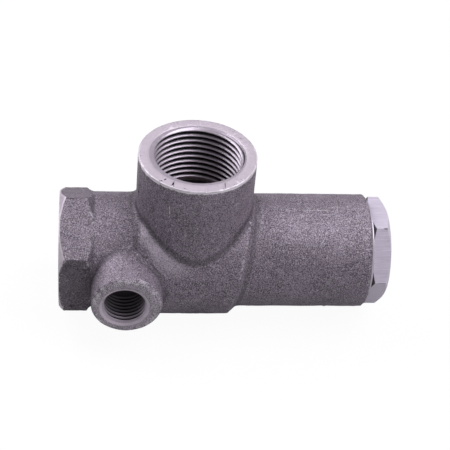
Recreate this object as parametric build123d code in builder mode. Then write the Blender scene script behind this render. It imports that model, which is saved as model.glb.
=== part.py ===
from build123d import *
import os

# Minimum pressure valve: an inline valve for a compressor, closed by a spring-loaded piston.
# The X axis is the valve's own axis, with the inlet's mouth at the origin and the cap at the far end.
# The outlet stands up along +Z and the gauge connection points to -Y. All lengths are in millimetres.

os.makedirs("parts", exist_ok=True)

# Pipe threads: G3/4 at the inlet and the outlet, G1/4 at the gauge. Their turns are grooves side by side
port_thread_root = 13.22
port_thread_crest = 12.06
port_thread_pitch = 1.814
gauge_thread_root = 6.58
gauge_thread_crest = 5.72
gauge_thread_pitch = 1.337
thread_flank_run = 0.52

# Casting, outside
body_length = 88.65
neck_radius = 16.6
housing_radius = 16.6
housing_edge_round = 0.9
collar_flats = 32.9
collar_length = 9.4
collar_corner_round = 0.7
collar_chamfer_radial = 2.4
collar_chamfer_axial = 1.6
outlet_x = 37.9
outlet_height = 34.3
outlet_radius = 16.6
outlet_rim_chamfer = 0.15
chamber_outside = 18.9
chamber_right_low = 12.8
chamber_right_high = 18.4
chamber_left_low = 15.8
chamber_left_high = 16.8
shoulder_depth = 3.2
gauge_x = 18.3
gauge_boss_offset_x = 0.65
gauge_boss_offset_z = 0.3
gauge_boss_radius = 10.1
gauge_boss_reach = 24.9
gauge_boss_round = 1.7
crest_round = 0.6
cast_fillet = 1.0
boss_fillet = 0.8

# Casting, inside
inlet_thread_length = 14.0
inlet_mouth_width = 0.4
inlet_mouth_depth = 0.4
inlet_tap_run = 2.5
inlet_passage_radius = 7.5
seat_x = 29.9
inner_lip_width = 0.8
outer_lip_radius = 10.2
outer_lip_width = 1.2
seat_boss_radius = 12.4
seat_groove_depth = 1.2
chamber_radius = 14.5
chamber_half = 10.5
outlet_thread_length = 18.4
outlet_mouth_width = 0.25
outlet_mouth_depth = 0.25
outlet_relief_length = 1.3
outlet_relief_step = 0.28
outlet_passage_radius = 10.5
outlet_passage_floor = 12.6
gauge_thread_length = 10.5
gauge_mouth_width = 0.22
gauge_mouth_depth = 0.9
gauge_passage_radius = 3.0
piston_bore_radius = 12.3
bore_lead_in = 0.6
cap_thread_radius = 13.0
cap_thread_length = 12.0
cap_thread_chamfer = 0.4

# Strokes and clearances
piston_stroke = 6.0
plunger_lift = 4.5
end_play = 0.3
running_clearance = 0.03
ring_clearance = 0.015
loose_fit = 0.05

# Piston
nose_radius = 11.6
nose_bore = 9.9
nose_seal_thickness = 1.2
piston_web = 1.5
guide_overhang = 1.8
skirt_end = 62.0
spring_pocket_radius = 8.4
guide_boss_radius = 5.1
bush_radius = 4.1
front_ring_start = 49.0
front_ring_width = 2.5
o_ring_start = 52.8
o_ring_section = 2.0
o_ring_groove_width = 2.7
rear_ring_start = 57.0
rear_ring_width = 3.5
guide_ring_thickness = 1.4

# Check plunger
plunger_head_radius = 9.2
plunger_head_length = 4.0
plunger_rim = 0.6
plunger_rim_set_back = 1.0
check_seal_thickness = 2.6
stem_radius = 3.0
stem_tip_chamfer = 0.4
stem_engagement = 3.5
check_spring_wire = 0.6
check_spring_radius = 4.1
check_spring_turns = 6
check_pocket_radius = 4.9
check_pocket_depth = 4.3
seal_washer_radius = 5.6
seal_washer_thickness = 1.0
lock_washer_radius = 3.8
lock_washer_thickness = 0.6
screw_radius = 2.0
screw_head_radius = 3.4
screw_head_height = 2.2
screw_slot_width = 1.0
screw_slot_depth = 1.1
screw_grip = 7.0

# Main spring and what carries it
main_spring_wire = 2.3
main_spring_radius = 6.9
main_spring_turns = 9
hard_washer_thickness = 0.5
hard_washer_radius = 8.2
guide_flange_radius = 8.5
guide_flange_thickness = 1.5
guide_spigot_radius = 5.3
guide_spigot_length = 4.5
shim_thickness = 0.5
shim_bore = 3.2

# Cap
cap_flats = 27.4
cap_turn = 56.0
cap_head_length = 5.25
cap_chamfer_radial = 2.5
cap_chamfer_axial = 1.45
cap_bearing_chamfer_radial = 1.5
cap_bearing_chamfer_axial = 0.65
cap_plug_length = 11.0
cap_neck_length = 2.0
cap_neck_radius = 12.0
cap_pocket_radius = 8.9
cap_end_wall = 4.6
cap_vent_radius = 1.25
cap_washer_radius = 15.0
cap_washer_thickness = 0.5

# Places along the axis that follow from the sizes above
bore_start = outlet_x + chamber_half
chamber_start = outlet_x - chamber_half
inner_lip_radius = inlet_passage_radius + inner_lip_width
nose_metal_x = seat_x + nose_seal_thickness
seal_back_x = seat_x + check_seal_thickness
plunger_back = seat_x + plunger_head_length
cavity_floor = plunger_back + plunger_lift + end_play
check_pocket_floor = cavity_floor + check_pocket_depth
spring_pocket_floor = check_pocket_floor + piston_web
stem_tip = check_pocket_floor + piston_stroke + stem_engagement
stem_hole_end = stem_tip + plunger_lift + end_play
guide_boss_end = stem_hole_end + piston_web
piston_radius = piston_bore_radius - running_clearance
ring_radius = piston_bore_radius - ring_clearance
hex_face = body_length + cap_washer_thickness
cap_end = hex_face + cap_head_length
cap_inner_end = body_length - cap_plug_length
cap_pocket_floor = cap_end - cap_end_wall
shim_1_x = cap_pocket_floor - shim_thickness
shim_2_x = shim_1_x - shim_thickness
spring_guide_x = shim_2_x - guide_flange_thickness
main_spring_start = spring_pocket_floor + hard_washer_thickness
collar_corner = collar_flats / 3**0.5
cap_corner = cap_flats / 3**0.5
outlet_axis = Axis((outlet_x, 0, 0), (0, 0, 1))
gauge_axis = Axis((gauge_x, 0, 0), (0, -1, 0))


def save(builder, name):
    """Labels a finished piece and writes it to its own file."""
    builder.part.label = name
    export_step(builder.part, f"parts/{name}.step")


def thread_turns(first, end, pitch, root, crest):
    """The turns of a thread down a bore, as depths with radii: V grooves between narrow lands."""
    flank = (root - crest) * thread_flank_run
    land = pitch / 2 - flank
    points = [(first, crest)]
    for turn in range(int((end - first) / pitch)):
        start = first + turn * pitch
        points.append((start + land, crest))
        points.append((start + land + flank, root))
        points.append((start + pitch - flank, root))
        points.append((start + pitch, crest))
    return points


def ring(name, start, length, bore, outside):
    """Makes a plain ring about the X axis, from start over its length."""
    with BuildPart() as piece:
        with BuildSketch(Plane.YZ.offset(start)):
            Circle(outside)
            Circle(bore, mode=Mode.SUBTRACT)
        extrude(amount=length)
    save(piece, name)


def coil_spring(name, start, end, radius, wire, turns):
    """Makes a compression spring about the X axis, with one closed turn at each end."""
    closed = 1.05 * wire
    first = start + wire / 2
    last = end - wire / 2
    active = (last - first - 2 * closed) / turns
    with BuildPart() as piece:
        for x, pitch, count in ((first, closed, 1), (first + closed, active, turns), (last - closed, closed, 1)):
            with BuildLine() as path:
                Helix(pitch, pitch * count, radius, center=(x, 0, 0), direction=(1, 0, 0))
            tip = path.line @ 0
            round_the_axis = Vector(1, 0, 0).cross(Vector(0, tip.Y, tip.Z))
            with BuildSketch(Plane(origin=tip, x_dir=(1, 0, 0), z_dir=round_the_axis)):
                Circle(wire / 2)
            sweep(is_frenet=True)
    save(piece, name)


# Hexagonal collar round the inlet, with two corners straight up and down, chamfered at both ends
with BuildPart() as collar:
    with BuildSketch(Plane.YZ):
        RegularPolygon(collar_flats / 2, 6, major_radius=False, rotation=30)
    extrude(amount=collar_length)
    fillet(collar.edges().filter_by(Axis.X), collar_corner_round)
    with BuildSketch(Plane.XZ):
        with BuildLine():
            Polyline(
                (0, 0),
                (0, collar_corner - collar_chamfer_radial),
                (collar_chamfer_axial, collar_corner),
                (collar_length - collar_chamfer_axial, collar_corner),
                (collar_length, collar_corner - collar_chamfer_radial),
                (collar_length, 0),
                close=True,
            )
        make_face()
    revolve(axis=Axis.X, mode=Mode.INTERSECT)

# Wider middle of the casting: a barrel whose right side leans outwards as it rises
with BuildPart() as middle:
    reach = shoulder_depth - (chamber_outside - neck_radius)
    right_low = outlet_x + chamber_right_low + reach
    right_high = outlet_x + chamber_right_high + reach
    left_low = outlet_x - chamber_left_low - reach
    left_high = outlet_x - chamber_left_high - reach
    with BuildSketch(Plane.XZ):
        with BuildLine():
            bottom = Line((left_low, -chamber_outside), (right_low, -chamber_outside))
            flank = TangentArc(bottom @ 1, (right_high, chamber_outside), tangent=(0, 1))
            top = Line(flank @ 1, (left_high, chamber_outside))
            Line(top @ 1, bottom @ 0)
        make_face()
    extrude(amount=chamber_outside, both=True)
    with BuildSketch(Plane.YZ.offset(left_high)):
        Circle(chamber_outside)
    extrude(amount=right_high - left_high, mode=Mode.INTERSECT)
    chamfer(middle.edges().filter_by(GeomType.LINE, reverse=True), shoulder_depth)
    crests = [
        edge
        for edge in middle.edges().filter_by(GeomType.LINE, reverse=True)
        if abs(Vector(0, (edge @ 0.5).Y, (edge @ 0.5).Z).length - chamber_outside) < 0.01
    ]
    fillet(crests, crest_round)

# Casting: neck and spring housing in line, the middle, the outlet and the gauge boss, then all its bores
with BuildPart() as valve_body:
    with BuildSketch(Plane.YZ):
        Circle(neck_radius)
    extrude(amount=outlet_x)
    with BuildSketch(Plane.YZ.offset(outlet_x)):
        Circle(housing_radius)
    extrude(amount=body_length - outlet_x)
    fillet(valve_body.faces().sort_by(Axis.X)[-1].edges(), housing_edge_round)
    add(middle.part)
    fillet(valve_body.edges(Select.NEW), cast_fillet)
    with BuildSketch(Plane.XY):
        with Locations((outlet_x, 0)):
            Circle(outlet_radius)
    extrude(amount=outlet_height)
    fillet(valve_body.edges(Select.NEW), cast_fillet)
    chamfer(valve_body.faces().sort_by(Axis.Z)[-1].edges(), outlet_rim_chamfer)
    with BuildSketch(Plane.XZ):
        with Locations((gauge_x + gauge_boss_offset_x, gauge_boss_offset_z)):
            Circle(gauge_boss_radius)
    extrude(amount=gauge_boss_reach)
    fillet(valve_body.edges(Select.NEW), boss_fillet)
    fillet(valve_body.faces().sort_by(Axis.Y)[0].edges(), gauge_boss_round)
    add(collar.part)
    # Bores on the main axis: inlet thread, passage, double seat, chamber, piston bore and cap thread
    with BuildSketch(Plane.XZ):
        with BuildLine():
            passage_x = inlet_thread_length + inlet_tap_run
            inlet_turns = thread_turns(
                inlet_mouth_depth, inlet_thread_length, port_thread_pitch, port_thread_root, port_thread_crest
            )
            Polyline(
                (0, 0),
                (0, port_thread_root + inlet_mouth_width),
                *inlet_turns,
                (passage_x, port_thread_crest),
                (passage_x + port_thread_crest - inlet_passage_radius, inlet_passage_radius),
                (seat_x, inlet_passage_radius),
                (seat_x, inner_lip_radius),
                (seat_x - seat_groove_depth, inner_lip_radius),
                (seat_x - seat_groove_depth, outer_lip_radius),
                (seat_x, outer_lip_radius),
                (seat_x, outer_lip_radius + outer_lip_width),
                (seat_x + outer_lip_radius + outer_lip_width - seat_boss_radius, seat_boss_radius),
                (chamber_start, seat_boss_radius),
                (chamber_start, chamber_radius),
                (bore_start, chamber_radius),
                (bore_start, piston_bore_radius),
                (body_length - cap_thread_length - bore_lead_in, piston_bore_radius),
                (body_length - cap_thread_length, piston_bore_radius + bore_lead_in),
                (body_length - cap_thread_length, cap_thread_radius),
                (body_length - cap_thread_chamfer, cap_thread_radius),
                (body_length, cap_thread_radius + cap_thread_chamfer),
                (body_length, 0),
                close=True,
            )
        make_face()
    revolve(axis=Axis.X, mode=Mode.SUBTRACT)
    # Outlet: thread, relief below it, and the passage into the chamber
    with BuildSketch(Plane.XZ):
        with BuildLine():
            thread_end = outlet_height - outlet_thread_length
            relief_end = thread_end - outlet_relief_length
            outlet_turns = thread_turns(
                outlet_mouth_depth, outlet_thread_length, port_thread_pitch, port_thread_root, port_thread_crest
            )
            Polyline(
                (outlet_x, outlet_height),
                (outlet_x + port_thread_root + outlet_mouth_width, outlet_height),
                *[(outlet_x + radius, outlet_height - depth) for depth, radius in outlet_turns],
                (outlet_x + port_thread_crest, thread_end),
                (outlet_x + port_thread_root + outlet_relief_step, thread_end),
                (outlet_x + port_thread_root + outlet_relief_step, relief_end),
                (outlet_x + outlet_passage_radius, relief_end),
                (outlet_x + outlet_passage_radius, outlet_passage_floor),
                (outlet_x, outlet_passage_floor),
                close=True,
            )
        make_face()
    revolve(axis=outlet_axis, mode=Mode.SUBTRACT)
    # Gauge connection: thread, and a drilled way into the inlet
    with BuildSketch(Plane.XY):
        with BuildLine():
            gauge_turns = thread_turns(
                gauge_mouth_depth, gauge_thread_length, gauge_thread_pitch, gauge_thread_root, gauge_thread_crest
            )
            Polyline(
                (gauge_x, -gauge_boss_reach),
                (gauge_x + gauge_thread_root + gauge_mouth_width, -gauge_boss_reach),
                *[(gauge_x + radius, depth - gauge_boss_reach) for depth, radius in gauge_turns],
                (gauge_x + gauge_thread_crest, -gauge_boss_reach + gauge_thread_length),
                (gauge_x + gauge_passage_radius, -gauge_boss_reach + gauge_thread_length),
                (gauge_x + gauge_passage_radius, 0),
                (gauge_x, 0),
                close=True,
            )
        make_face()
    revolve(axis=gauge_axis, mode=Mode.SUBTRACT)
save(valve_body, "valve_body")

# Cap: hexagonal head, hollow threaded plug, and a vent for the spring chamber
with BuildPart() as spring_cap:
    with BuildSketch(Plane.YZ.offset(hex_face)):
        RegularPolygon(cap_flats / 2, 6, major_radius=False, rotation=cap_turn)
    extrude(amount=cap_head_length)
    with BuildSketch(Plane.XZ):
        with BuildLine():
            Polyline(
                (hex_face, 0),
                (hex_face, cap_corner - cap_bearing_chamfer_radial),
                (hex_face + cap_bearing_chamfer_axial, cap_corner),
                (cap_end - cap_chamfer_axial, cap_corner),
                (cap_end, cap_corner - cap_chamfer_radial),
                (cap_end, 0),
                close=True,
            )
        make_face()
    revolve(axis=Axis.X, mode=Mode.INTERSECT)
    with BuildSketch(Plane.YZ.offset(cap_inner_end)):
        Circle(cap_thread_radius - loose_fit)
    extrude(amount=cap_plug_length - cap_neck_length)
    with BuildSketch(Plane.YZ.offset(body_length - cap_neck_length)):
        Circle(cap_neck_radius)
    extrude(amount=cap_neck_length + cap_washer_thickness)
    with BuildSketch(Plane.YZ.offset(cap_inner_end)):
        Circle(cap_pocket_radius)
    extrude(amount=cap_pocket_floor - cap_inner_end, mode=Mode.SUBTRACT)
    with BuildSketch(Plane.YZ.offset(cap_pocket_floor)):
        Circle(cap_vent_radius)
    extrude(amount=cap_end_wall, mode=Mode.SUBTRACT)
save(spring_cap, "spring_cap")

ring("cap_washer", body_length, cap_washer_thickness, cap_thread_radius + loose_fit, cap_washer_radius)
ring("adjusting_shim_1", shim_1_x, shim_thickness, shim_bore, guide_flange_radius)
ring("adjusting_shim_2", shim_2_x, shim_thickness, shim_bore, guide_flange_radius)

# Spring guide: a flange on the shims, and a drilled spigot inside the spring
with BuildPart() as spring_guide:
    with BuildSketch(Plane.YZ.offset(spring_guide_x)):
        Circle(guide_flange_radius)
    extrude(amount=guide_flange_thickness)
    with BuildSketch(Plane.YZ.offset(spring_guide_x)):
        Circle(guide_spigot_radius)
    extrude(amount=-guide_spigot_length)
    chamfer(spring_guide.faces().sort_by(Axis.X)[0].edges(), end_play)
    with BuildSketch(Plane.YZ.offset(spring_guide_x - guide_spigot_length)):
        Circle(cap_vent_radius)
    extrude(amount=guide_spigot_length + guide_flange_thickness, mode=Mode.SUBTRACT)
save(spring_guide, "spring_guide")

coil_spring(
    "main_spring", main_spring_start, spring_guide_x, main_spring_radius, main_spring_wire, main_spring_turns
)

# Piston: hollow nose, web with the stem's guide boss, and a skirt with three grooves
with BuildPart() as piston:
    with BuildSketch(Plane.XZ):
        with BuildLine():
            guide_start = bore_start - guide_overhang
            Polyline(
                (nose_metal_x, nose_bore),
                (nose_metal_x, nose_radius),
                (guide_start, nose_radius),
                (guide_start + piston_radius - nose_radius, piston_radius),
                (skirt_end - end_play, piston_radius),
                (skirt_end, piston_radius - end_play),
                (skirt_end, spring_pocket_radius),
                (spring_pocket_floor, spring_pocket_radius),
                (spring_pocket_floor, guide_boss_radius),
                (guide_boss_end, guide_boss_radius),
                (guide_boss_end, 0),
                (stem_hole_end, 0),
                (stem_hole_end, bush_radius),
                (check_pocket_floor, bush_radius),
                (check_pocket_floor, check_pocket_radius),
                (cavity_floor, check_pocket_radius),
                (cavity_floor, nose_bore),
                close=True,
            )
        make_face()
        for start, width, depth in (
            (front_ring_start, front_ring_width, guide_ring_thickness),
            (o_ring_start, o_ring_groove_width, o_ring_section),
            (rear_ring_start, rear_ring_width, guide_ring_thickness),
        ):
            groove_bottom = ring_radius - depth - ring_clearance
            with Locations((start, groove_bottom)):
                Rectangle(width, piston_bore_radius, align=(Align.MIN, Align.MIN), mode=Mode.SUBTRACT)
    revolve(axis=Axis.X)
save(piston, "piston")

ring("nose_seal", seat_x, nose_seal_thickness, nose_bore, nose_radius)
ring("stem_bush", check_pocket_floor, stem_hole_end - check_pocket_floor, stem_radius + running_clearance, bush_radius)
ring("piston_spring_washer", spring_pocket_floor, hard_washer_thickness, guide_boss_radius + loose_fit, hard_washer_radius)
for place, start, width in (("front", front_ring_start, front_ring_width), ("rear", rear_ring_start, rear_ring_width)):
    ring(
        f"{place}_guide_ring", start + loose_fit, width - 2 * loose_fit, ring_radius - guide_ring_thickness, ring_radius
    )

with BuildPart() as piston_o_ring:
    with BuildSketch(Plane.XZ):
        with Locations((o_ring_start + o_ring_groove_width / 2, ring_radius - o_ring_section / 2)):
            Circle(o_ring_section / 2)
    revolve(axis=Axis.X)
save(piston_o_ring, "piston_o_ring")

# Check plunger: a head recessed for its rubber disc, and a stem with a tapped hole in front
with BuildPart() as check_plunger:
    with BuildSketch(Plane.XZ):
        with BuildLine():
            Polyline(
                (seal_back_x, screw_radius),
                (seal_back_x, plunger_head_radius - plunger_rim),
                (seat_x + plunger_rim_set_back, plunger_head_radius - plunger_rim),
                (seat_x + plunger_rim_set_back, plunger_head_radius),
                (plunger_back, plunger_head_radius),
                (plunger_back, stem_radius),
                (stem_tip - stem_tip_chamfer, stem_radius),
                (stem_tip, stem_radius - stem_tip_chamfer),
                (stem_tip, 0),
                (seal_back_x + screw_grip + screw_radius, 0),
                (seal_back_x + screw_grip, screw_radius),
                close=True,
            )
        make_face()
    revolve(axis=Axis.X)
save(check_plunger, "check_plunger")

seal_bore = screw_radius + loose_fit
lock_washer_x = seat_x - seal_washer_thickness - lock_washer_thickness
ring("check_seal", seat_x, check_seal_thickness, seal_bore, plunger_head_radius - plunger_rim - loose_fit)
ring("seal_washer", seat_x - seal_washer_thickness, seal_washer_thickness, seal_bore, seal_washer_radius)
ring("lock_washer", lock_washer_x, lock_washer_thickness, seal_bore, lock_washer_radius)

with BuildPart() as seal_screw:
    with BuildSketch(Plane.YZ.offset(lock_washer_x)):
        Circle(screw_head_radius)
    extrude(amount=-screw_head_height)
    fillet(seal_screw.faces().sort_by(Axis.X)[0].edges(), screw_head_height / 3)
    with BuildSketch(Plane.YZ.offset(lock_washer_x)):
        Circle(screw_radius - running_clearance)
    extrude(amount=seal_back_x + screw_grip - lock_washer_x)
    with BuildSketch(Plane.YZ.offset(lock_washer_x - screw_head_height)):
        Rectangle(2 * screw_head_radius, screw_slot_width)
    extrude(amount=screw_slot_depth, mode=Mode.SUBTRACT)
save(seal_screw, "seal_screw")

coil_spring(
    "check_spring",
    plunger_back,
    check_pocket_floor,
    check_spring_radius,
    check_spring_wire,
    check_spring_turns,
)
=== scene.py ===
# %% [markdown]
# # A minimum pressure valve
#
# This valve sits between a compressor's separator and its network. Its casting has a hexagonal inlet
# collar at one end, a threaded outlet that stands up, a small gauge connection at the front, and a long
# spring housing that an aluminium cap closes. The solids come packed from the CAD, and this lesson
# gives them their finish: cast skin, machined faces, screw threads and wear.

import bmesh
import bpy
import numpy as np
from mathutils import Matrix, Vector
from mathutils.kdtree import KDTree


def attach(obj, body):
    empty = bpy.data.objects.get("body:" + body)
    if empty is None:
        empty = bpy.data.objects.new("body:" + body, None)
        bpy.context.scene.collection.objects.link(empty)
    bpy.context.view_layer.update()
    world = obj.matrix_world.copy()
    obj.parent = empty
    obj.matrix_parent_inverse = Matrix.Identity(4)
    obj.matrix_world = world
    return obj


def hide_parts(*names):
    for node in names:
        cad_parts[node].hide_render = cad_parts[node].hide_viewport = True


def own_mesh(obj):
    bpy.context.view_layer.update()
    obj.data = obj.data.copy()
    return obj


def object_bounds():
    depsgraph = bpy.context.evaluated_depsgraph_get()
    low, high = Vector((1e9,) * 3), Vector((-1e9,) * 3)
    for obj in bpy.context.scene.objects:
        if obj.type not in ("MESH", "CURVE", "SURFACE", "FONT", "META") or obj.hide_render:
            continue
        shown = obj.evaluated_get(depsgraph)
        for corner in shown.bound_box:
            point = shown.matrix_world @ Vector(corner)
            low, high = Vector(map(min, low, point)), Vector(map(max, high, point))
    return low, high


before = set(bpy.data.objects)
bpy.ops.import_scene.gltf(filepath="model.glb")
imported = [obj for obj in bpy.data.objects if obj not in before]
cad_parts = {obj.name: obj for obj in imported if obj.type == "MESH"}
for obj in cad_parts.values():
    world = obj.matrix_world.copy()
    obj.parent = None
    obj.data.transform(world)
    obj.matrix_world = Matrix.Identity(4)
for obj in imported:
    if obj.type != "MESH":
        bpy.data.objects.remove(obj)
cad_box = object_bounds()

MM = 0.001
# Places on the solid, in millimetres: the outlet's and the gauge connection's axes, the boss's own centre,
# and the planes of the outlet's face, the housing's end and the boss's face. The collar's face is at x = 0.
OUTLET_X, GAUGE_X, BOSS_X, BOSS_Z = 37.9, 18.3, 18.95, 0.3
OUTLET_FACE, BODY_END, BOSS_FACE = 34.3, 88.65, -24.9
# The root's and the crest's radius of the two sizes of thread, and their pitches.
PIPE_THREAD, PIPE_PITCH = (13.22, 12.06), 1.814
GAUGE_THREAD, GAUGE_PITCH = (6.58, 5.72), 1.337
print("CAD box:", cad_box)

# %% [markdown]
# ## The camera
#
# The camera stands where the photograph was taken from. Three angles say which way it looks: it is turned
# a little to the left, looks down by 40 degrees, and is tilted about its own line of sight. The distance
# and the focal length come from how much the round mouths open towards the camera.

# %% Place the camera
PHOTO_WIDTH = 450
YAW, PITCH, ROLL = -0.13920, 0.69776, 0.09910
FOCAL_LENGTH_PIXELS = 1307.92
DISTANCE = 381.09 * MM
SLIDE_RIGHT, SLIDE_UP = 10.025 * MM, 6.920 * MM
SENSOR_WIDTH = 36


def camera_axes(yaw, pitch, roll):
    """The camera's right, up and backward directions. Backward is (sin yaw cos pitch, -cos yaw cos pitch,
    sin pitch), and right and up are level first and then turned by roll about it."""
    backward = np.array([np.sin(yaw) * np.cos(pitch), -np.cos(yaw) * np.cos(pitch), np.sin(pitch)])
    level = np.array([np.cos(yaw), np.sin(yaw), 0.0])
    upright = np.cross(backward, level)
    right = np.cos(roll) * level + np.sin(roll) * upright
    up = np.cos(roll) * upright - np.sin(roll) * level
    return right, up, backward


right, up, backward = camera_axes(YAW, PITCH, ROLL)
eye = np.array([OUTLET_X * MM, 0, 0]) + SLIDE_RIGHT * right + SLIDE_UP * up + DISTANCE * backward
camera = bpy.data.objects.new("camera", bpy.data.cameras.new("camera"))
bpy.context.scene.collection.objects.link(camera)
camera.data.sensor_width = SENSOR_WIDTH
camera.data.lens = FOCAL_LENGTH_PIXELS / PHOTO_WIDTH * SENSOR_WIDTH
camera.data.clip_start = 0.01
pose = np.eye(4)
pose[:3, :3] = np.column_stack([right, up, backward])
pose[:3, 3] = eye
camera.matrix_world = Matrix(pose.tolist())
bpy.context.scene.camera = camera
bpy.context.scene.view_settings.view_transform = "Standard"
print("camera at", eye.round(4), "lens", round(camera.data.lens, 1))

# %% [markdown]
# ## A language for materials
#
# A material is a graph of small nodes. Wiring them one by one hides the sum they work out, so a Value wraps
# one socket and Python's own operators add the Math nodes. Every other node comes from one method, which
# takes the node's type, its settings, and the values or links of its sockets. A mask is a Value from 0 to 1:
# two masks multiplied give their overlap, and a | b gives the larger of the two.


# %% Values and finishes
class Value:
    """One output socket of a finish. Sums of Values are Math nodes."""

    def __init__(self, finish, socket):
        self.finish = finish
        self.socket = socket

    def math(self, operation, *others, clamp=False):
        numbers = {i: other for i, other in enumerate((self,) + others)}
        return self.finish.node("ShaderNodeMath", {"operation": operation, "use_clamp": clamp}, numbers)

    def __add__(self, other):
        return self.math("ADD", other)

    def __sub__(self, other):
        return self.math("SUBTRACT", other)

    def __rsub__(self, other):
        return self.finish.number(other).math("SUBTRACT", self)

    def __mul__(self, other):
        return self.math("MULTIPLY", other)

    def __truediv__(self, other):
        return self.math("DIVIDE", other)

    def __or__(self, other):
        return self.math("MAXIMUM", other)

    __rmul__ = __mul__

    def clip(self):
        """The same value, held between 0 and 1."""
        return self.math("ADD", 0.0, clamp=True)

    def over(self, edge, soft=0.1):
        """0 below the edge and 1 above it, with a smooth step 2 x soft wide."""
        settings = {"interpolation_type": "SMOOTHSTEP"}
        return self.finish.node("ShaderNodeMapRange", settings, {0: self, 1: edge - soft, 2: edge + soft})

    def under(self, edge, soft=0.1):
        return 1 - self.over(edge, soft)


class Finish:
    """A node material with one Principled shader."""

    def __init__(self, name):
        self.material = bpy.data.materials.new(name)
        self.material.use_nodes = True
        self.tree = self.material.node_tree
        self.shader = self.tree.nodes["Principled BSDF"]
        self.position = self.node("ShaderNodeTexCoord", out="Object")
        self.mm = self.node("ShaderNodeVectorMath", {"operation": "SCALE"}, {0: self.position, "Scale": 1 / MM})
        apart = self.node("ShaderNodeSeparateXYZ", {}, {0: self.mm})
        self.x, self.y, self.z = (Value(self, apart.socket.node.outputs[i]) for i in range(3))

    def node(self, kind, settings=None, inputs=None, out=0):
        """Adds a node, gives it its settings, links or fills its sockets, and returns one output."""
        made = self.tree.nodes.new(kind)
        for key, value in (settings or {}).items():
            setattr(made, key, value)
        for key, value in (inputs or {}).items():
            if isinstance(value, Value):
                self.tree.links.new(value.socket, made.inputs[key])
            else:
                made.inputs[key].default_value = value
        return Value(self, made.outputs[out])

    def number(self, value):
        return self.node("ShaderNodeMath", {"operation": "ADD"}, {0: value, 1: 0.0})

    def noise(self, size, detail=2.0, rough=0.5, where=None, shift=0.0):
        """Cloudy noise from 0 to 1 whose lumps are about size millimetres across."""
        place = where or self.mm
        if shift:
            place = self.node("ShaderNodeVectorMath", {"operation": "ADD"}, {0: place, 1: (shift,) * 3})
        inputs = {"Vector": place, "Scale": 1 / size, "Detail": detail, "Roughness": rough}
        return self.node("ShaderNodeTexNoise", {}, inputs)

    def cells(self, size, out="Distance"):
        """Random points about size millimetres apart: the distance to the nearest, or its own colour."""
        inputs = {"Vector": self.mm, "Scale": 1 / size}
        return self.node("ShaderNodeTexVoronoi", {"feature": "F1"}, inputs, out)

    def spot(self, place, reach):
        """1 at a place in millimetres, falling to 0 over a reach along each axis."""
        offset = self.node("ShaderNodeVectorMath", {"operation": "SUBTRACT"}, {0: self.mm, 1: place})
        share = self.node("ShaderNodeVectorMath", {"operation": "DIVIDE"}, {0: offset, 1: reach})
        distance = self.node("ShaderNodeVectorMath", {"operation": "LENGTH"}, {0: share}, "Value")
        return distance.under(0.75, 0.25)

    def attribute(self, name):
        """A number that is kept on the points of the net."""
        return self.node("ShaderNodeAttribute", {"attribute_name": name}, out="Fac")

    def stretched(self, x, y, z):
        """The position in millimetres, divided by a length along each axis."""
        return self.node("ShaderNodeVectorMath", {"operation": "DIVIDE"}, {0: self.mm, 1: (x, y, z)})

    def around(self, *pairs):
        """The distance from a line parallel to an axis: the root of the sum of two squared offsets."""
        squares = [(axis - centre) * (axis - centre) for axis, centre in pairs]
        return (squares[0] + squares[1]).math("SQRT")

    def mix(self, mask, low, high):
        """A colour that goes from low to high as the mask goes from 0 to 1."""
        inputs = {0: mask, 6: colour(low), 7: colour(high)}
        return self.node("ShaderNodeMix", {"data_type": "RGBA", "clamp_factor": True}, inputs, 2)

    def blend(self, mask, low, high):
        """A number that goes from low to high as the mask goes from 0 to 1."""
        inputs = {0: mask, 2: low, 3: high}
        return self.node("ShaderNodeMix", {"data_type": "FLOAT", "clamp_factor": True}, inputs, 0)

    def bump(self, height, distance_mm):
        """A normal from a height, which goes from 0 to 1 over a distance in millimetres."""
        inputs = {"Height": height, "Distance": distance_mm * MM, "Strength": 1.0}
        return self.node("ShaderNodeBump", {}, inputs)

    def set(self, **sockets):
        """Links or fills sockets of the shader: base_color stands for the one called Base Color."""
        for name, value in sockets.items():
            socket = self.shader.inputs[name.replace("_", " ").title()]
            if isinstance(value, Value):
                self.tree.links.new(value.socket, socket)
            else:
                socket.default_value = value


def colour(value):
    """A linked colour as it is, or three numbers with full opacity."""
    return value if isinstance(value, Value) else (*value, 1.0)


def paint(node, finish):
    """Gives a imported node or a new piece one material."""
    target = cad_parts[node] if isinstance(node, str) else node
    target.data.materials.clear()
    target.data.materials.append(finish.material)


print("finishes are ready to be mixed")

# %% [markdown]
# ## The casting, with the surface that sand leaves
#
# A solid from the CAD has perfect walls and knife-sharp junctions. Sand cannot hold such a shape: a real
# casting is a little lumpy, its inner corners are filled with a soft fillet, and its outer ones are knocked.
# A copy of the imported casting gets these. Its edges are halved until the net is fine enough to carry lumps,
# the finest where two walls meet, and numpy then moves all points at once. Lumps and knocks only go inwards,
# and a fillet only fills the corner between two walls, so the copy stays inside the solid's box. In the
# three threaded holes the solid's rings are pushed back to a plain wall, because helical threads are wound
# there further on.

# %% Noise, closeness and smoothing on a net


def smooth(t):
    """The smooth step 3t^2 - 2t^3 of t held between 0 and 1."""
    t = np.clip(t, 0, 1)
    return t * t * (3 - 2 * t)


def lumps(place, size, seed):
    """Smooth random heights from 0 to 1: a random number stands at every corner of a lattice whose cells are
    size millimetres wide, and a point blends the eight around it with smooth steps."""
    scaled = place / size + 500.0
    cell = np.floor(scaled).astype(int)
    share = smooth(scaled - cell)
    table = np.random.default_rng(seed).random(8192)
    height = np.zeros(len(place))
    for corner in np.ndindex(2, 2, 2):
        at = cell + corner
        pick = (at[:, 0] * 73 + at[:, 1] * 1181 + at[:, 2] * 2903) % 8192
        height += table[pick] * np.prod(np.where(corner, share, 1 - share), axis=1)
    return height


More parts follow.
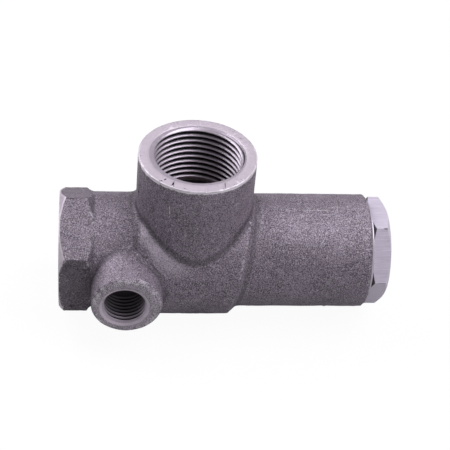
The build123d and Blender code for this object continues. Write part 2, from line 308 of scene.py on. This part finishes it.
def tree_of(points):
    """A tree that quickly finds the nearest of the points."""
    tree = KDTree(len(points))
    for i, point in enumerate(points):
        tree.insert(point, i)
    tree.balance()
    return tree


def nearness(place, lines, reach):
    """1 on the given points, falling smoothly to 0 at reach millimetres from the nearest of them."""
    tree = tree_of(lines)
    return smooth(1 - np.array([tree.find(point)[2] for point in place]) / reach)


def relaxed(place, edges, share, rounds):
    """Each row moves towards the mean m of its neighbours, again and again: p becomes p + 0.6 share (m - p).
    The rows are places, which fills the hollows, or directions, which turns neighbours the same way."""
    count = np.bincount(edges.ravel(), minlength=len(place))[:, None]
    for _ in range(rounds):
        total = np.zeros_like(place)
        np.add.at(total, edges[:, 0], place[edges[:, 1]])
        np.add.at(total, edges[:, 1], place[edges[:, 0]])
        place = place + share[:, None] * 0.6 * (total / count - place)
    return place


samples = np.array([[0.0, 0, 0], [0.5, 0, 0], [1.0, 0, 0]])
print("lattice noise at three points:", lumps(samples, 1.0, 1).round(3))

# %% Divide a copy of the casting
MAIN_BORE, OUTLET_BORE, GAUGE_BORE = 15.9, 13.9, 7.0
INNER_CREASE, OUTER_CREASE, FLAT_EDGE = 0.14, 0.35, 0.15
LINE_STEP = 0.3
FAR_EDGE, NEAR_EDGE = 1.2, 0.5


def numbers(collection, name, width, kind=np.float32):
    """One property of every point, edge or corner, as rows of width numbers."""
    values = np.empty(len(collection) * width, kind)
    collection.foreach_get(name, values)
    return values.reshape(-1, width)


def in_a_bore(place):
    """Whether a point in millimetres is inside one of the machined holes."""
    x, y, z = np.moveaxis(np.asarray(place), -1, 0)
    outlet_bore = (np.hypot(x - OUTLET_X, y) < OUTLET_BORE) & (z > 5)
    gauge_bore = (np.hypot(x - GAUGE_X, z) < GAUGE_BORE) & (y < -5)
    return (np.hypot(y, z) < MAIN_BORE) | outlet_bore | gauge_bore


def creases(work, least, inner):
    """Points about LINE_STEP apart along the edges where two walls meet at more than least radians, in the
    hollows if inner is true and else on the outer corners. The bores are left out."""
    points = []
    for edge in work.edges:
        turn = edge.calc_face_angle_signed(0.0)
        if abs(turn) > least and (turn < 0) == inner:
            a, b = (np.array(vert.co) / MM for vert in edge.verts)
            steps = max(2, int(np.linalg.norm(b - a) / LINE_STEP) + 1)
            points.append(a + (b - a) * np.linspace(0, 1, steps)[:, None])
    points = np.concatenate(points)
    return points[~in_a_bore(points)]


def as_arrays(work):
    """The net's points in millimetres, and the two point numbers of every edge."""
    scratch = bpy.data.meshes.new("scratch")
    work.to_mesh(scratch)
    place = numbers(scratch.vertices, "co", 3).astype(float) / MM
    edges = numbers(scratch.edges, "vertices", 2, np.int32)
    bpy.data.meshes.remove(scratch)
    work.edges.ensure_lookup_table()
    return place, edges


def cell_numbers(place, size):
    """One whole number for the cube, size millimetres wide, that each point is in."""
    at = np.floor(place / np.reshape(size, (-1, 1))).astype(np.int64) + 2000
    return (at[:, 0] * 4096 + at[:, 1]) * 4096 + at[:, 2]


def angle_over(edge):
    """The angle between an edge's two faces, or a very large one if it has not got two."""
    return abs(edge.calc_face_angle_signed(9.0))


def even_out(work):
    """Turns the diagonals of the flat parts of the skin, so that slivers become fuller triangles, and says
    which edges are on a crease and stay."""
    work.normal_update()
    place, edges = as_arrays(work)
    outside = np.flatnonzero(~in_a_bore(place[edges].mean(axis=1)))
    flat = [edge for edge in (work.edges[i] for i in outside) if angle_over(edge) < FLAT_EDGE]
    around = list({face for edge in flat for face in edge.link_faces})
    bmesh.ops.beautify_fill(work, faces=around, edges=flat, method="ANGLE")
    work.normal_update()
    return np.array([angle_over(edge) >= FLAT_EDGE for edge in work.edges])


def divide(work, near_lines, far, near, passes=9):
    """Cuts long edges in the middle, the longest first and never two cuts in one small cube, and evens the
    net out before each pass. Edges end up about far millimetres long, or near beside the lines. An edge on
    a crease is always cut, because no diagonal can be turned there."""
    tree = tree_of(near_lines)
    for _ in range(passes):
        creased = even_out(work)
        place, edges = as_arrays(work)
        middle = place[edges].mean(axis=1)
        length = np.linalg.norm(place[edges[:, 0]] - place[edges[:, 1]], axis=1)
        long = np.flatnonzero((length > near) & ~in_a_bore(middle))
        limit = np.where([tree.find(middle[i])[2] < 1.0 for i in long], near, far)
        wanted = length[long] > limit
        long, limit = long[wanted], limit[wanted]
        order = np.argsort(-length[long] / limit, kind="stable")
        long, limit = long[order], limit[order]
        chosen = []
        for size in (far, near):
            cells = cell_numbers(middle[long], 0.6 * size)
            taken = np.isin(cells, cell_numbers(place, 0.6 * size))
            first = np.zeros(len(long), dtype=bool)
            first[np.unique(cells, return_index=True)[1]] = True
            chosen.append(long[((first & ~taken) | creased[long]) & (limit == size)])
        chosen = np.concatenate(chosen)
        if len(chosen) < 60:
            break
        bmesh.ops.subdivide_edges(work, edges=[work.edges[i] for i in chosen], cuts=1)
        bmesh.ops.triangulate(work, faces=[face for face in work.faces if len(face.verts) > 3])


work = bmesh.new()
work.from_mesh(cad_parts["valve_body"].data)
bmesh.ops.remove_doubles(work, verts=work.verts, dist=0.02 * MM)
inner_lines, outer_lines = creases(work, INNER_CREASE, True), creases(work, OUTER_CREASE, False)
x, y, z = inner_lines.T
from_ends = (x > 1) & (x < BODY_END - 1) & (z < OUTLET_FACE - 1) & (y > BOSS_FACE + 1)
inner_lines = inner_lines[from_ends]
divide(work, np.concatenate([inner_lines, outer_lines]), FAR_EDGE, NEAR_EDGE)
net = bpy.data.meshes.new("cast_body")
work.to_mesh(net)
work.free()
print("the casting's net has", len(net.polygons), "faces")

# %% [markdown]
# The points are then moved in four steps: the threads' rings go back, the hollows are filled, the skin gets
# its lumps, and the corners get their knocks. How near a point is to a hollow or a corner is kept on the net
# as an attribute, which the finish reads to paint shade into the one and to brighten the other as rubbed metal.

# %% Move the points
HOLLOW_REACH, HOLLOW_ROUNDS = 1.5, 12
CORNER_REACH, CORNER_ROUNDS = 1.3, 8
ON_PLANE = 0.03
LUMPS = ((0.10, 5.5, 1), (0.09, 2.3, 2), (0.07, 1.05, 3))
DEEPEST, DEEPEST_ON_PLANE = 0.42, 0.12

rest = numbers(net.vertices, "co", 3).astype(float) / MM
facing = numbers(net.vertices, "normal", 3).astype(float)
edges = numbers(net.edges, "vertices", 2, np.int32)


def push_back(place, centre, along, first, last, root):
    """Points between two depths of a bore, and nearer its axis than its root, go out to that radius."""
    along = np.array(along, dtype=float)
    offset = place - np.array(centre)
    depth = offset @ along
    out = offset - depth[:, None] * along
    radius = np.linalg.norm(out, axis=1)
    inside = (depth > first) & (depth < last) & (radius < root) & (radius > root * 0.8)
    factor = np.where(inside, root / np.maximum(radius, 1e-9), 1.0)[:, None]
    return np.array(centre) + depth[:, None] * along + out * factor


place = push_back(rest, (OUTLET_X, 0, OUTLET_FACE), (0, 0, -1), 0.2, 18.38, 13.35)
place = push_back(place, (0, 0, 0), (1, 0, 0), 0.5, 13.98, 13.35)
place = push_back(place, (GAUGE_X, BOSS_FACE, 0), (0, 1, 0), 0.8, 10.48, 6.7)

hollow = nearness(rest, inner_lines, HOLLOW_REACH)
corner = nearness(rest, outer_lines, CORNER_REACH)
skin_points = ~in_a_bore(rest)
flat_top = np.abs(rest[:, 2] - OUTLET_FACE) < ON_PLANE
flat_end = (np.abs(rest[:, 0] - BODY_END) < ON_PLANE) | (np.abs(rest[:, 0]) < ON_PLANE)
place = relaxed(place, edges, hollow * skin_points, HOLLOW_ROUNDS)

# Points on a machined plane stay in it, and the lumps die away towards the collar's turned face.
away = relaxed(facing, edges, skin_points * np.clip(corner * 2, 0, 1), CORNER_ROUNDS)
away[flat_top, 2] = 0
away[flat_end, 0] = 0
lump = sum(height * lumps(rest, size, seed) for height, size, seed in LUMPS)
knock = np.clip(lumps(rest, 2.1, 4) * 0.7 + lumps(rest, 1.1, 5) * 0.5 - 0.55, 0, 1) * 0.7
sunk = np.clip(lump + corner * (0.05 + knock), 0, DEEPEST) * skin_points
sunk = np.where(flat_top | flat_end, np.minimum(sunk, DEEPEST_ON_PLANE), sunk)
near_face = 1 - smooth((rest[:, 0] - 1.0) / 2.0)
sunk = sunk * (1 - 0.75 * near_face)
place = place - away * sunk[:, None]
print("deepest lump", sunk.max().round(2), "mm")

# %% [markdown]
# Handling has left a few marks of its own, such as the two notches on the collar's front flat. Each is a
# place, a radius and a depth, and pushes the skin in as a smooth bowl. Triangles that lie in a machined plane
# are then shaded flat, and all others smoothly up to the sharp edges.

# %% Add the knocks
KNOCKS = (
    ((1.2, -16.5, 7.9), 1.1, 0.5),
    ((2.6, -16.6, 7.6), 1.0, 0.4),
    ((4.3, -16.7, -2.7), 1.1, 0.45),
    ((29.9, -14.5, 26.8), 0.9, 0.18),
    ((29.9, -14.5, 25.2), 0.9, 0.20),
    ((61.0, -14.7, 7.8), 0.9, 0.25),
    ((63.7, -15.8, 5.1), 0.9, 0.25),
    ((80.0, -16.6, -0.3), 0.8, 0.35),
    ((28.6, -24.3, -2.3), 1.0, 0.35),
    ((9.3, -24.5, 2.9), 1.3, 0.30),
)
for centre, reach, depth in KNOCKS:
    bowl = smooth(1 - np.linalg.norm(rest - np.array(centre), axis=1) / reach) * skin_points
    place = place - away * (bowl * depth)[:, None]

net.vertices.foreach_set("co", (place * MM).astype(np.float32).ravel())
for name, values in (("hollow", hollow), ("corner", corner)):
    net.attributes.new(name, "FLOAT", "POINT").data.foreach_set("value", values.astype(np.float32))
corners = numbers(net.loops, "vertex_index", 1, np.int32).ravel()
starts = numbers(net.polygons, "loop_start", 1, np.int32).ravel()
in_a_plane = np.minimum.reduceat((flat_top | flat_end)[corners].astype(int), starts)
net.polygons.foreach_set("use_smooth", in_a_plane == 0)
net.set_sharp_from_angle(angle=0.5)
net.update()
cast_body = bpy.data.objects.new("cast_body", net)
bpy.context.scene.collection.objects.link(cast_body)
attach(cast_body, "housing")
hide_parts("valve_body")
print("knocks added:", len(KNOCKS))

# %% [markdown]
# ## The cast skin and its machined faces
#
# The casting was blasted with shot, so its skin is a dark grey with a purple cast, covered in tiny dents
# that catch the light as bright and dark grains. A lathe then faced the ends and cut the bores: those
# places are bright metal. One material does both, because they are one piece of metal. Masks made from the
# position say where the tools went, and noise makes their edges as ragged as they are on rough cast metal.

# %% Mix the casting's finish
BRIGHT_MARKS = (
    ((29.8, -14.5, 26.9), (0.22, 1.0, 0.9), 0.7),
    ((29.9, -14.6, 25.4), (0.18, 1.0, 1.1), 0.8),
    ((29.9, -14.6, 23.8), (0.15, 1.0, 0.8), 0.5),
    ((34.4, -16.3, 19.0), (0.5, 1.0, 2.6), 0.25),
    ((48.2, -13.0, 27.4), (1.4, 1.5, 0.35), 0.35),
    ((51.9, -15.6, 5.6), (0.35, 1.0, 1.3), 0.9),
    ((50.6, -16.8, 0.9), (0.45, 1.2, 1.0), 0.8),
    ((50.0, -16.8, -1.7), (0.3, 1.2, 0.7), 0.7),
    ((28.7, -24.5, -2.3), (0.5, 0.8, 0.5), 0.9),
    ((73.3, -1.7, 16.5), (4.5, 0.25, 0.9), 0.30),
    ((78.8, -0.6, 16.6), (3.5, 0.20, 0.9), 0.25),
    ((76.0, -3.2, 16.3), (3.0, 0.18, 0.9), 0.20),
)
PAINTED_SHADE, PALE = (0.06, 0.05, 0.06), (0.74, 0.66, 0.78)

casting = Finish("blasted_casting")
x, y, z = casting.x, casting.y, casting.z
from_axis = casting.around((y, 0.0), (z, 0.0))
from_outlet = casting.around((x, OUTLET_X), (y, 0.0))
from_gauge = casting.around((x, GAUGE_X), (z, 0.0))
in_hollow = casting.attribute("hollow")
on_corner = casting.attribute("corner")

grain = casting.noise(0.27, detail=2.0, rough=0.6)
coarse = casting.noise(1.4, detail=2.0, rough=0.5, shift=7.0)
patches = casting.noise(9.0, detail=2.5, rough=0.55, shift=31.0)
# Painted glints: bright specks of the blasted metal, coloured as if they caught the light.
painted_glints = casting.noise(0.36, detail=1.0, rough=0.6, shift=5.0).over(0.64, 0.05)
tone = ((grain - 0.5) * 3.4 + 0.46 + (coarse - 0.5) * 0.45 + (patches - 0.5) * 0.45).clip()
skin = casting.mix(tone, (0.070, 0.056, 0.076), (0.50, 0.42, 0.53))
skin = casting.mix(painted_glints * 0.55, skin, (0.85, 0.77, 0.88))

# Darker and paler parts of the skin: a paler housing underside, painted shade on the collar and its front flat,
# a paler boss face, painted shade in the hollows, and a painted sheen on the band beside the outlet.
skin = casting.mix(z.under(-9.0, 5.0) * x.over(50.0, 3.0) * 0.12, skin, PALE)
# Painted shade: the collar's front flat is darkened strongly, and the rest of the collar a little.
front_flat = y.under(-16.0, 0.3) * x.under(9.3, 0.4)
skin = casting.mix(front_flat * 0.55, skin, PAINTED_SHADE)
skin = casting.mix(x.under(9.5, 0.4) * (1 - front_flat) * 0.16, skin, PAINTED_SHADE)
skin = casting.mix(y.under(BOSS_FACE + 0.45, 0.2) * (tone * 0.45 + 0.08), skin, (0.84, 0.76, 0.88))
# Painted shade in the hollows, darkest along the port's side.
port_side = from_outlet.under(16.9, 0.25) * y.under(0.0)
skin = casting.mix(in_hollow.over(0.35, 0.6) * port_side * 0.52, skin, (0.05, 0.04, 0.055))
skin = casting.mix(in_hollow.over(0.75, 0.2) * (1 - port_side) * 0.4, skin, (0.06, 0.05, 0.065))
# A painted sheen on the shoulder beside the outlet, brighter where the tone is.
beside_outlet = from_outlet.over(17.1, 0.4) * from_outlet.under(19.6, 1.2)
sheen_band = beside_outlet * x.under(36.0, 3.0) * x.over(22.5, 0.4) * z.over(6.0, 2.0) * y.under(-3.0, 3.0)
skin = casting.mix(sheen_band * (tone * 0.5 + 0.25), skin, (0.75, 0.66, 0.79))

# Metal that shows through: rubbed corners and the single bright marks.
rubbed = on_corner.over(0.8, 0.2) * (coarse * 0.6 + grain * 0.4).over(0.55, 0.06)
boss_rim = casting.around((x, BOSS_X), (z, BOSS_Z)).over(8.2, 0.6) * y.under(BOSS_FACE + 0.9, 0.4)
rubbed = rubbed | boss_rim * (coarse * 0.5 + grain * 0.5).over(0.54, 0.04)
skin = casting.mix(rubbed * 0.7, skin, (0.82, 0.76, 0.86))
for place, reach, share in BRIGHT_MARKS:
    skin = casting.mix(casting.spot(place, reach) * share, skin, (0.95, 0.90, 0.98))

# Where the lathe cut: the three faces with their chamfers, the boss's ring, the housing's end and the bores.
ragged = (casting.noise(1.3, detail=3.0) - 0.5) * 0.9
rim_band = from_outlet.over(16.1, 0.1) * (z + ragged * 0.9).over(33.4, 0.1) * y.under(5.0, 3.0)
outlet_cut = (z + ragged * 0.5).over(OUTLET_FACE - 0.37, 0.05) | rim_band
collar_cone = (from_axis - x * 1.5 + ragged * 0.5).over(15.95, 0.15) * x.under(2.3, 0.1)
collar_cut = (x + ragged * 0.2).under(0.12, 0.06) | collar_cone * y.over(-16.2, 0.3)
ring_cut = (from_gauge + ragged * 0.35).under(7.0, 0.1) * y.under(BOSS_FACE + 0.3, 0.1)
end_cut = (x + ragged * 0.1).over(BODY_END - 0.2, 0.05)
main_bore = from_axis.under(15.6, 0.2)
outlet_bore = from_outlet.under(13.8, 0.1) * z.over(10.0)
gauge_bore = from_gauge.under(6.95, 0.1)
bore_cut = main_bore | outlet_bore | gauge_bore * y.under(-10.0)
cut = outlet_cut | collar_cut | ring_cut | end_cut | bore_cut

milled = casting.noise(0.7, detail=2.0, shift=3.0) * 0.5 + casting.noise(5.0, shift=11.0) * 0.5
bright = casting.mix(milled, (0.60, 0.52, 0.62), (0.80, 0.70, 0.82))
pit = casting.cells(1.9).under(0.15, 0.05) * casting.cells(1.9, out="Color").over(0.8, 0.03)
bright = casting.mix(pit * 0.55, bright, (0.12, 0.10, 0.13))
# The outlet's front rim is machined metal, painted brighter still as a highlight.
bright = casting.mix(rim_band * 0.8, bright, (0.97, 0.90, 1.0))
# Painted shade deep inside the bores: the main bore's chamber, the outlet below its thread and the gauge hole
# past its thread.
deep = main_bore * x.over(14.2, 1.0) * x.under(86.0, 1.0) | outlet_bore * z.under(16.2, 0.6)
deep = deep | gauge_bore * y.over(BOSS_FACE + 10.2, 0.4)
bright = casting.mix(deep * 0.85, bright, (0.05, 0.04, 0.05))

height = grain * 0.9 + coarse * 0.5
casting.set(
    base_color=casting.mix(cut, skin, bright),
    metallic=casting.blend(cut, 0.35, 0.25),
    roughness=casting.blend(cut, 0.60 - grain * 0.2, 0.42),
    normal=casting.bump(height * (1 - cut) + milled * cut * 0.10, 0.15),
)
paint(cast_body, casting)
print("casting finished:", len(casting.tree.nodes), "nodes")

# %% [markdown]
# ## Plain finishes of the other pieces
#
# The cap is milled from aluminium bar: fine lines run along it, with a few dark scratches and two nicks, and
# the cone under its head is in shadow. The pieces inside are turned, and one function makes all their
# finishes, each from two colours and a roughness.

# %% Mix the cap's aluminium and the metals inside
CAP_NICKS = (
    ((92.7, -6.93, 14.2), (1.1, 0.5, 0.28), 0.75),
    ((92.0, -15.75, 1.05), (2.4, 0.6, 0.22), 0.65),
)
aluminium = Finish("milled_aluminium")
lines = aluminium.noise(1.0, detail=3.0, where=aluminium.stretched(9.0, 0.16, 0.16))
tint = aluminium.noise(5.0, detail=2.0)
scratches = aluminium.noise(1.0, detail=2.0, where=aluminium.stretched(3.5, 0.22, 0.22)).over(0.67, 0.03)
cap_radius = aluminium.around((aluminium.y, 0.0), (aluminium.z, 0.0))
body = aluminium.mix((lines - 0.5) * 1.8 + 0.3 + tint * 0.4, (0.60, 0.535, 0.68), (0.92, 0.835, 1.0))
body = aluminium.mix(scratches * 0.35, body, (0.30, 0.27, 0.33))
past_cone = aluminium.x - 89.15 - (cap_radius - 14.32) * 0.433
under_head = past_cone.under(0.10, 0.07) * cap_radius.over(14.3, 0.15)
body = aluminium.mix(under_head * 0.92, body, (0.03, 0.026, 0.034))
for place, reach, share in CAP_NICKS:
    body = aluminium.mix(aluminium.spot(place, reach) * share, body, (0.12, 0.11, 0.13))
aluminium.set(
    base_color=body,
    metallic=0.18,
    roughness=aluminium.blend(lines, 0.32, 0.44),
    normal=aluminium.bump(lines, 0.012),
)
paint("spring_cap", aluminium)

washer = Finish("soft_aluminium")
washer.set(
    base_color=washer.mix(washer.noise(2.0), (0.62, 0.58, 0.68), (0.75, 0.71, 0.80)),
    metallic=0.35,
    roughness=0.35,
)
paint("cap_washer", washer)


def turned(name, low, high, roughness, metallic=1.0, ridge=0.3):
    """A finish with fine rings about the valve's axis, as a lathe leaves them."""
    finish = Finish(name)
    radius = finish.around((finish.y, 0.0), (finish.z, 0.0))
    place = finish.node("ShaderNodeCombineXYZ", {}, {0: finish.x / ridge, 1: radius / ridge, 2: 0.0})
    rings = finish.node("ShaderNodeTexNoise", {}, {"Vector": place, "Scale": 1.0, "Detail": 2.0})
    cloud = finish.noise(3.0, detail=2.0)
    finish.set(
        base_color=finish.mix(rings * 0.5 + cloud * 0.5, low, high),
        metallic=metallic,
        roughness=finish.blend(rings, roughness - 0.06, roughness + 0.08),
        normal=finish.bump(rings, 0.02),
    )
    return finish


brass = turned("turned_brass", (0.40, 0.27, 0.10), (0.66, 0.47, 0.20), 0.30)
steel = turned("turned_steel", (0.38, 0.38, 0.39), (0.60, 0.60, 0.61), 0.26)
wire = turned("oiled_spring_wire", (0.10, 0.10, 0.11), (0.24, 0.24, 0.25), 0.34)
rubber = turned("moulded_rubber", (0.012, 0.012, 0.013), (0.030, 0.030, 0.032), 0.62, metallic=0.0)
bearing = turned("bronze_filled_strip", (0.16, 0.10, 0.045), (0.27, 0.18, 0.09), 0.55, metallic=0.2)
INNER_PIECES = (
    (brass, ("piston", "check_plunger")),
    (steel, ("adjusting_shim_1", "adjusting_shim_2", "spring_guide")),
    (steel, ("piston_spring_washer", "seal_washer", "seal_screw")),
    (wire, ("main_spring", "check_spring", "lock_washer")),
    (rubber, ("nose_seal", "piston_o_ring", "check_seal")),
    (bearing, ("front_guide_ring", "rear_guide_ring", "stem_bush")),
)
for finish, nodes in INNER_PIECES:
    for node in nodes:
        paint(node, finish)
print("the inner pieces are finished")

# %% [markdown]
# ## The springs
#
# Each spring gets a mesh of its own, and the place along the axis of the end that stays on its part is found.
# The joints and travels in the table are not used.

SPRINGS = (("main_spring", "piston_slide", max, 6.0), ("check_spring", "plunger_slide", min, 4.5))
for name, joint, end_that_stays, travel in SPRINGS:
    spring = bpy.data.objects[name]
    xs = [(spring.matrix_world @ vertex.co).x for vertex in spring.data.vertices]
    held = end_that_stays(xs)
    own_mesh(spring)

# %% [markdown]
# ## Screw threads
#
# A pipe thread is one ridge wound on a helix. Each liner is a closed ring of surface: it runs down the bore
# along the thread's profile and back up inside the metal, and round the bore once. The ridge stands where
# the height along the bore and the angle agree, so every row of points round the bore is shifted a little
# against the last.

# %% Wind the threads


def closed_surface(name, points, finish):
    """Makes a mesh from a grid of points, shape (rows, columns, 3), whose rows and columns both close on
    themselves. Every quad joins a point to its right and lower neighbours."""
    rows, columns = points.shape[:2]
    index = np.arange(rows * columns).reshape(rows, columns)
    across = np.roll(index, -1, axis=1)
    below, beyond = np.roll(index, -1, axis=0), np.roll(across, -1, axis=0)
    quads = np.stack([index, below, beyond, across], axis=-1).reshape(-1, 4)
    mesh = bpy.data.meshes.new(name)
    mesh.from_pydata(points.reshape(-1, 3), [], quads)
    mesh.polygons.foreach_set("use_smooth", np.ones(len(quads), dtype=bool))
    mesh.set_sharp_from_angle(angle=0.7)
    mesh.update()
    piece = bpy.data.objects.new(name, mesh)
    bpy.context.scene.collection.objects.link(piece)
    paint(piece, finish)
    return piece


def ridge(phase, flat=0.16):
    """A pipe thread's height from 0 at the root to 1 at the crest, over one turn of phase. The flank is
    f = 0.5 + (0.5 - |2 phase - 1|) / (1 - flat), held between 0 and 1, and half of it is a smooth step, so
    root and crest are round and about a share flat of a turn wide."""
    half = np.abs((phase % 1.0) - 0.5) * 2
    flank = 0.5 + (0.5 - half) / (1 - flat)
    return smooth(flank) * 0.5 + np.clip(flank, 0, 1) * 0.5


STEPS_A_TURN = 22
BEHIND_ROOT = 0.28


def thread(name, finish, place, along, sizes, pitch, length, mouth, around=192, run_out=0.0, start=0.0):
    """A screw thread's liner, riding on the housing. At depth d below the mouth and at angle a the wall's
    radius is root - (root - crest) ridge(d / pitch - a / 2 pi + start). The mouth is a cone, mouth[0] wider
    than the root and mouth[1] deep, that the first turn fades into, and the last run_out millimetres fade
    to the crest's radius. Behind the root the liner's back runs up inside the metal."""
    root, crest = sizes
    depth = np.linspace(0, length, int(length / pitch * STEPS_A_TURN))[:, None]
    angle = np.linspace(0, 2 * np.pi, around, endpoint=False)[None, :]
    rise = ridge(depth / pitch - angle / (2 * np.pi) + start)
    if run_out:
        rise = np.maximum(rise, smooth((depth - length + run_out) / run_out))
    radius = root - (root - crest) * rise
    width, deep = mouth
    cone = root + width - depth / deep * (root + width - crest)
    radius = np.maximum(radius, np.where(depth < deep, cone, 0))
    hidden = root + BEHIND_ROOT
    back = np.array([[length, hidden], [deep * 3, hidden], [0.012, root + width + 0.03]])
    radius = np.concatenate([radius, np.repeat(back[:, 1:], around, axis=1)])
    depth = np.concatenate([np.repeat(depth, around, axis=1), np.repeat(back[:, :1], around, axis=1)])
    place, along = np.array(place), np.array(along, dtype=float)
    side = np.array([0.0, 1.0, 0.0]) if abs(along[1]) < 0.5 else np.array([1.0, 0.0, 0.0])
    other = np.cross(along, side)
    points = place + depth[..., None] * along
    outwards = np.cos(angle)[..., None] * side + np.sin(angle)[..., None] * other
    points = points + radius[..., None] * outwards
    piece = closed_surface(name, points * MM, finish)
    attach(piece, "housing")
    return piece


def cut_thread_finish(name, axis, centre, sizes, mouth, inwards, inward_shade=0.0):
    """Bright crests and flanks over dark roots, by the distance from the bore's axis. The roots' darkness is
    partly the grooves' own dark colour and partly painted shade. The mouth's cone, which ends at the place
    mouth along the bore, is bright, and further inwards the metal is painted darker as shade, as strongly as
    the last argument says."""
    root, crest = sizes
    finish = Finish(name)
    places = {"X": finish.x, "Y": finish.y, "Z": finish.z}
    depth = (places.pop(axis) - mouth) * inwards
    radius = finish.around(*zip(places.values(), centre))
    worn = finish.noise(1.2, detail=2.0)
    deep = ((radius - crest) / (root - crest) + (worn - 0.5) * 0.25).over(0.45, 0.25) * depth.over(0.12, 0.1)
    metal = finish.mix(worn, (0.50, 0.43, 0.53), (0.66, 0.58, 0.69))
    metal = finish.mix(depth.over(2.2, 2.2) * inward_shade, metal, (0.10, 0.085, 0.105))
    finish.set(
        base_color=finish.mix(deep, metal, (0.035, 0.030, 0.038)),
        metallic=0.45,
        roughness=finish.blend(deep, 0.32, 0.55),
        normal=finish.bump(worn, 0.03),
    )
    return finish


outlet_metal = cut_thread_finish(
    "outlet_thread_metal", "Z", (OUTLET_X, 0.0), PIPE_THREAD, mouth=OUTLET_FACE - 0.25, inwards=-1
)
inlet_metal = cut_thread_finish("inlet_thread_metal", "X", (0.0, 0.0), PIPE_THREAD, mouth=0.4, inwards=1)
gauge_metal = cut_thread_finish(
    "gauge_thread_metal", "Y", (GAUGE_X, 0.0), GAUGE_THREAD, mouth=BOSS_FACE + 0.9, inwards=1, inward_shade=0.8
)
thread(
    "outlet_turns", outlet_metal, (OUTLET_X, 0, OUTLET_FACE), (0, 0, -1), PIPE_THREAD, PIPE_PITCH,
    length=18.35, mouth=(0.25, 0.12), start=0.11,
)
thread(
    "inlet_turns", inlet_metal, (0, 0, 0), (1, 0, 0), PIPE_THREAD, PIPE_PITCH,
    length=13.98, mouth=(0.4, 0.4), run_out=1.2,
)
thread(
    "gauge_turns", gauge_metal, (GAUGE_X, BOSS_FACE, 0), (0, 1, 0), GAUGE_THREAD, GAUGE_PITCH,
    length=10.45, mouth=(0.22, 0.9), around=128, run_out=0.8,
)
print("threads wound")

# %% [markdown]
# ## Floor and light
#
# Two large lamps from above light the valve on a white sheet of paper, and a weak one fills the front. The
# camera sees the sheet partly as a glow, which burns it out to white as in the photograph, but the valve
# is lit and mirrored by plain grey paper.

# %% Set the stage


def area_light(name, place, target, size, power):
    """A square lamp of the given size in metres and power in watts at a place, turned towards the target."""
    data = bpy.data.lights.new(name, "AREA")
    data.shape = "SQUARE"
    data.size = size
    data.energy = power
    lamp = bpy.data.objects.new(name, data)
    back = np.array(place, dtype=float) - np.array(target, dtype=float)
    back /= np.linalg.norm(back)
    side = np.cross([0.0, 1.0, 0.0], back)
    side /= np.linalg.norm(side)
    turn = np.eye(4)
    turn[:3, :3] = np.column_stack([side, np.cross(back, side), back])
    turn[:3, 3] = place
    lamp.matrix_world = Matrix(turn.tolist())
    bpy.context.scene.collection.objects.link(lamp)


MIDDLE = np.array([0.045, 0, 0])
LAMP_DISTANCE, LAMP_SIZE = 0.8, 0.6
WORLD_STRENGTH, GLOW_STRENGTH, GLOW_SHARE = 0.17, 1.08, 0.88
LAMPS = {
    "softbox_above_right": ((0.45, -0.05, 0.90), 4.2),
    "softbox_above_left": ((-0.60, 0.42, 0.68), 3.6),
    "fill_front_right": ((0.64, -0.64, 0.44), 0.4),
}
for lamp, (towards, power) in LAMPS.items():
    towards = np.array(towards) / np.linalg.norm(towards)
    area_light(lamp, MIDDLE + LAMP_DISTANCE * towards, MIDDLE, LAMP_SIZE, power)

world = bpy.data.worlds.new("studio")
bpy.context.scene.world = world
world.use_nodes = True
background = world.node_tree.nodes["Background"]
background.inputs["Color"].default_value = (1, 1, 1, 1)
background.inputs["Strength"].default_value = WORLD_STRENGTH

floor_mesh = bpy.data.meshes.new("floor")
half = 1.5
low = cad_box[0][2] - 0.0001
sheet_corners = [(-half, -half, low), (half, -half, low), (half, half, low), (-half, half, low)]
floor_mesh.from_pydata(sheet_corners, [], [(0, 1, 2, 3)])
floor = bpy.data.objects.new("floor", floor_mesh)
bpy.context.scene.collection.objects.link(floor)
paper = Finish("white_paper")
paper.set(base_color=(0.5, 0.5, 0.5, 1), roughness=0.8)
glow = paper.node("ShaderNodeEmission", {}, {"Color": (1, 1, 1, 1), "Strength": GLOW_STRENGTH})
share = paper.node("ShaderNodeLightPath", out="Is Camera Ray") * GLOW_SHARE
sheet = paper.node("ShaderNodeMixShader", {}, {0: share, 1: Value(paper, paper.shader.outputs[0]), 2: glow})
paper.tree.links.new(sheet.socket, paper.tree.nodes["Material Output"].inputs["Surface"])
paint(floor, paper)
print("stage set")
